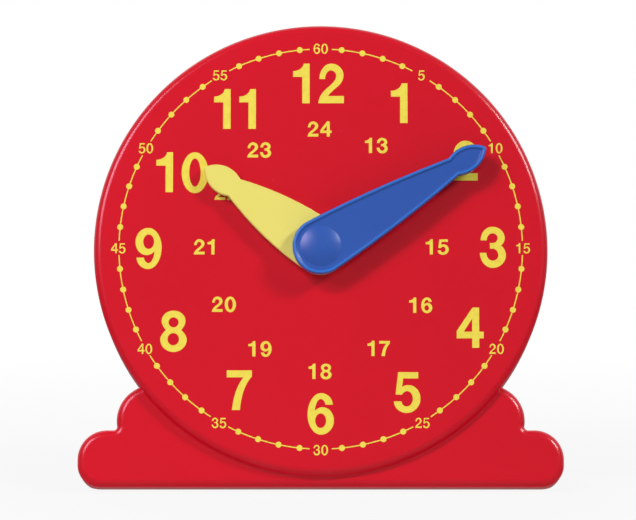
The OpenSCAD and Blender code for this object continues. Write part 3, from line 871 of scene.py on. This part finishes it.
class Finish:
    """A new material, or the world, under construction."""

    def __init__(self, holder):
        self.holder = holder
        self.holder.use_nodes = True
        self.tree = self.holder.node_tree
        self.tree.nodes.clear()

    def node(self, kind, settings=None, inputs=None):
        """Adds a node and returns its outputs as wires."""
        node = self.tree.nodes.new("ShaderNode" + kind)
        for name, value in (settings or {}).items():
            setattr(node, name, value)
        for name, value in (inputs or {}).items():
            if isinstance(value, Wire):
                self.tree.links.new(value.socket, node.inputs[name])
            elif value is not None:
                node.inputs[name].default_value = value
        return [Wire(self, socket) for socket in node.outputs]

    def place(self, scale=(1, 1, 1), turn=(0, 0, 0)):
        """Object coordinates in metres, scaled and turned."""
        where = self.node("TexCoord")[3]
        inputs = {"Vector": where, "Scale": scale, "Rotation": turn}
        return self.node("Mapping", None, inputs)[0]

    def on_clock(self):
        """The place in the clock's own millimetres: height over the dial face, and distance from
        the hand axis."""
        home = PLACE.inverted()
        inputs = {
            "Vector": self.node("TexCoord")[3], "Location": home.translation,
            "Rotation": home.to_euler(), "Scale": home.to_scale(),
        }
        where = self.node("Mapping", None, inputs)[0]
        flat = self.node("VectorMath", {"operation": "MULTIPLY"}, {0: where, 1: (1, 1, 0)})[0]
        away = self.node("VectorMath", {"operation": "LENGTH"}, {0: flat})[1]
        return self.node("SeparateXYZ", None, {"Vector": where})[2], away

    def noise(self, scale, detail=2, roughness=0.5, place=None):
        inputs = {
            "Vector": place or self.place(), "Scale": scale, "Detail": detail,
            "Roughness": roughness,
        }
        return self.node("TexNoise", None, inputs)[0]

    def mix(self, factor, a, b):
        """Colour between a and b."""
        return self.node("Mix", {"data_type": "RGBA"}, {0: factor, 6: a, 7: b})[2]

    def bump(self, height, distance, strength=1.0, below=None):
        inputs = {"Height": height, "Distance": distance, "Strength": strength, "Normal": below}
        return self.node("Bump", None, inputs)[0]

    def close(self, shader):
        self.node("OutputMaterial", None, {"Surface": shader})
        return self.holder

    def surface(self, **sockets):
        """A principled surface; underscores in a socket's name stand for spaces."""
        inputs = {name.replace("_", " "): value for name, value in sockets.items()}
        return self.close(self.node("BsdfPrincipled", None, inputs)[0])


def started(name):
    """A new material, ready for its nodes."""
    return Finish(bpy.data.materials.new(name))


def srgb(red, green, blue):
    """A colour written 0 to 255, as the light level it stands for."""
    def level(value):
        value = value / 255
        return value / 12.92 if value <= 0.04045 else ((value + 0.055) / 1.055) ** 2.4
    return (level(red), level(green), level(blue), 1)


def moulded(name, colour, shade, roughness, grain, polish, painted_crest_highlight=None):
    """Injection-moulded plastic: faint flow shading, fine skin grain and rub marks in the gloss.
    On the minute hand, the top of the rim's crest is mixed to a lighter azure, a painted highlight."""
    finish = started(name)
    flow = finish.noise(28, 3, 0.55)
    rubs = finish.noise(110, 3, 0.5)
    skin = finish.noise(2600, 2)
    swell = finish.noise(240, 1)
    base = finish.mix(flow.above(0.35, 0.7), colour, shade)
    # Painted highlight: the top of the minute hand's rim, picked by its height over the dial, is
    # mixed to a lighter azure.
    if painted_crest_highlight:
        top = MINUTE_Z + MINUTE_T
        height, away = finish.on_clock()
        painted_highlight_mask = height.above(top - RIM_H / 2, top) * away.above(DOME_R, DOME_R + 0.3)
        base = finish.mix(painted_highlight_mask, base, painted_crest_highlight)
    return finish.surface(
        Base_Color=base,
        Roughness=roughness + rubs.above(0.4, 0.8) * 0.06,
        Specular_IOR_Level=polish,
        Normal=finish.bump(skin, 0.00001, grain, finish.bump(swell, 0.00004, 0.25)),
    )


def printed_ink(name, colour, shade):
    """Pad-printed ink: slightly uneven in its cover, duller than the plastic under it."""
    finish = started(name)
    cover = finish.noise(900, 3, 0.6)
    return finish.surface(
        Base_Color=finish.mix(cover.above(0.42, 0.72), colour, shade),
        Roughness=0.42 + cover * 0.12,
        Specular_IOR_Level=0.3,
        Normal=finish.bump(finish.noise(3000, 2), 0.00001, 0.3),
    )


def natural_moulding(name):
    """Undyed gear plastic: milky, with faint cloudy patches and a waxy skin."""
    finish = started(name)
    clouds = finish.noise(140, 3)
    return finish.surface(
        Base_Color=finish.mix(clouds, srgb(240, 240, 233), srgb(228, 228, 218)),
        Roughness=0.38 + clouds * 0.12,
        Specular_IOR_Level=0.4,
        Normal=finish.bump(finish.noise(2200, 2), 0.00001, 0.3),
    )


def turned_steel(name, colour, shade, stretch, roughness=0.24):
    """Steel with fine drawn or ground lines along one direction."""
    finish = started(name)
    lines = finish.noise(700, 3, 0.6, finish.place(scale=stretch))
    patches = finish.noise(160, 2)
    return finish.surface(
        Base_Color=finish.mix(lines * 0.6 + patches * 0.4, colour, shade),
        Metallic=1.0,
        Roughness=roughness + lines * 0.16,
        Normal=finish.bump(lines, 0.00001, 0.35),
    )


def dress(nodes, finish):
    """Gives CAD pieces that are shown as they are their material."""
    for name in nodes:
        node = frame["nodes"][name]
        if not node.material_slots:
            node.data.materials.append(finish)
        for slot in node.material_slots:
            slot.material = finish


# ---------- studio ----------

VIEW_W = 636
PHOTO_SCALE = 4.52
VIEW_RANGE = 1.0
ELEVATION = 4.6
AIM = (-0.6, -2.54, 0)
SENSOR = 36

# Share of the floor's own glow under the clock and beyond it, with the reach where it changes, and
# the share that the camera sees beside the clock, with the reach where it becomes white
GLOW_NEAR = 0.72
GLOW_FAR = 0.05
GLOW_REACH = (0.06, 0.15)
SEEN_NEAR = 0.9
SEEN_REACH = (0.06, 0.3)


def studio_camera():
    """Long lens at the photograph's angle; PHOTO_SCALE is its pixels per millimetre."""
    data = bpy.data.cameras.new("camera")
    data.sensor_width = SENSOR
    data.lens = SENSOR * VIEW_RANGE * 1000 / (VIEW_W / PHOTO_SCALE)
    data.clip_end = 50
    camera = bpy.data.objects.new("camera", data)
    bpy.context.scene.collection.objects.link(camera)
    tilt = radians(ELEVATION)
    camera.location = PLACE @ Vector(AIM) + VIEW_RANGE * Vector((0, -cos(tilt), sin(tilt)))
    camera.rotation_euler = (pi / 2 - tilt, 0, 0)
    bpy.context.scene.camera = camera


def soft_light(name, way, distance, size, power, tint=(1, 1, 1), lit=True, mirrored=True):
    """Square soft box that looks at the dial from a way given in the clock's frame; it can be kept
    from lighting matt colour, or from being mirrored in gloss."""
    data = bpy.data.lights.new(name, "AREA")
    data.shape = "SQUARE"
    data.size = size
    data.energy = power
    data.color = tint
    light = bpy.data.objects.new(name, data)
    light.visible_diffuse = lit
    light.visible_glossy = mirrored
    bpy.context.scene.collection.objects.link(light)
    centre = PLACE @ Vector((0, 0, 0))
    ahead = (PLACE.to_3x3() @ Vector(way)).normalized()
    light.location = centre + ahead * distance
    light.rotation_euler = ahead.to_track_quat("Z", "Y").to_euler()


def rays(finish):
    """1 for the camera's rays or those through glass, and 1 for mirror rays, as two wires."""
    path = finish.node("LightPath")
    return finish.node("Math", {"operation": "MAXIMUM"}, {0: path[0], 1: path[6]})[0], path[3]


def studio_world(level, front, back, below):
    """White surround, whose light on the object is only level strong. Mirror rays see it front
    strong before the clock and brighter by back behind it, and below the horizon they see only
    that share of it."""
    world = bpy.data.worlds.new("surround")
    finish = Finish(world)
    toward = finish.node("SeparateXYZ", None, {"Vector": finish.node("TexCoord")[0]})
    behind = toward[1].above(0.1, 0.7)
    upward = toward[2].above(-0.15, 0.15) * (1 - below) + below
    direct, mirror = rays(finish)
    mirrored = (behind * back + front) * upward
    strength = direct + mirror * mirrored + (1 - direct - mirror) * level
    shade = finish.node("Background", None, {"Color": (1, 1, 1, 1), "Strength": strength})[0]
    finish.node("OutputWorld", None, {"Surface": shade})
    bpy.context.scene.world = world


def studio_floor():
    """Pale floor that keeps the clock's shadow near it and fades into the white surround. It glows
    under the clock like a light table, and the gloss of the plastic doesn't mirror it."""
    bpy.ops.mesh.primitive_circle_add(vertices=96, radius=9, fill_type="NGON")
    floor = bpy.context.object
    floor.name = "studio_floor"
    floor.visible_glossy = False
    finish = started("pale_floor")
    where = finish.node("TexCoord")[3]
    away = finish.node("VectorMath", {"operation": "LENGTH"}, {0: where})[1]
    grain = finish.noise(60, 4)
    paper = finish.mix(grain, (0.46, 0.46, 0.46, 1), (0.48, 0.48, 0.48, 1))
    matt = finish.node("BsdfDiffuse", None, {"Color": paper})[0]
    glow = finish.node("Emission", None, {"Color": (1, 1, 1, 1), "Strength": 1.0})[0]
    direct = rays(finish)[0]
    glow_share = GLOW_NEAR - away.above(*GLOW_REACH) * (GLOW_NEAR - GLOW_FAR)
    seen_share = away.above(*SEEN_REACH) * (1 - SEEN_NEAR) + SEEN_NEAR
    share = direct * (seen_share - glow_share) + glow_share
    lit = finish.node("MixShader", None, {0: share, 1: matt, 2: glow})[0]
    floor.data.materials.append(finish.close(lit))


# ---------- the clock ----------

DIAL_RED = srgb(212, 8, 34)
DIAL_RED_SHADE = srgb(208, 8, 33)
COVER_RED = srgb(205, 12, 32)
COVER_RED_SHADE = srgb(200, 12, 31)
HAND_BLUE = srgb(43, 89, 173)
HAND_BLUE_SHADE = srgb(39, 84, 167)
# Painted highlight colour for the top of the minute hand's rim.
HAND_BLUE_PAINTED_HIGHLIGHT = srgb(46, 118, 208)
HAND_YELLOW = srgb(237, 231, 116)
HAND_YELLOW_SHADE = srgb(233, 226, 108)
PRINT_YELLOW = srgb(240, 226, 84)
PRINT_YELLOW_SHADE = srgb(234, 216, 76)
STEEL = srgb(205, 207, 210)
STEEL_SHADE = srgb(180, 182, 186)
ZINC = srgb(206, 207, 203)
ZINC_SHADE = srgb(186, 186, 180)

studio_camera()

dial_plastic = moulded(
    "dial_red_plastic", DIAL_RED, DIAL_RED_SHADE, roughness=0.22, grain=0.2, polish=0.64
)
cover_plastic = moulded(
    "cover_red_plastic", COVER_RED, COVER_RED_SHADE, roughness=0.42, grain=0.45, polish=0.5
)
front_shell(dial_plastic)
rear_shell(cover_plastic)
pan_screws(turned_steel("zinc_plate", ZINC, ZINC_SHADE, stretch=(1, 1, 1), roughness=0.3))

yellow_plastic = moulded(
    "hand_yellow_plastic", HAND_YELLOW, HAND_YELLOW_SHADE, roughness=0.33, grain=0.25, polish=0.6
)
blue_plastic = moulded(
    "hand_blue_plastic", HAND_BLUE, HAND_BLUE_SHADE,
    roughness=0.32, grain=0.25, polish=0.75, painted_crest_highlight=HAND_BLUE_PAINTED_HIGHLIGHT,
)
hour_blade(yellow_plastic)
minute_blade(blue_plastic)

ink = printed_ink("yellow_ink", PRINT_YELLOW, PRINT_YELLOW_SHADE)
dial_print(ink)
minute_ring(ink)

dress(["support_leg"], cover_plastic)
dress(["cannon_pinion", "transfer_wheel", "hour_wheel"], natural_moulding("natural_gear_plastic"))
ground_steel = turned_steel("ground_shaft", STEEL, STEEL_SHADE, stretch=(1, 0.1, 0.1))
dress(["minute_arbor", "transfer_pin"], ground_steel)
dress(["leg_pin"], turned_steel("drawn_pin", STEEL, STEEL_SHADE, stretch=(0.1, 1, 1)))
spring_steel = turned_steel("spring_plate", STEEL, ZINC_SHADE, stretch=(1, 1, 0.3))
dress(["push_nut", "spring_washer", "transfer_washer"], spring_steel)

LEFT = (-0.61, 0.395, 0.685)
RIGHT = (0.706, 0.495, 0.51)
studio_world(level=0.05, front=0.24, back=0.8, below=0.2)
soft_light("key_light", (-0.42, 0.56, 0.72), distance=0.6, size=0.09, power=1.25, mirrored=False)
soft_light("left_light", LEFT, distance=0.6, size=0.25, power=1.42, tint=(0.97, 0.76, 1))
soft_light("right_light", RIGHT, distance=1.2, size=0.2, power=7.4, mirrored=False)
soft_light("right_sheen", RIGHT, distance=1.2, size=0.3, power=7, lit=False)
soft_light("back_light", (-0.35, 0.45, -0.82), distance=1, size=0.5, power=4.5, mirrored=False)
studio_floor()
bpy.context.scene.view_settings.view_transform = "Standard"
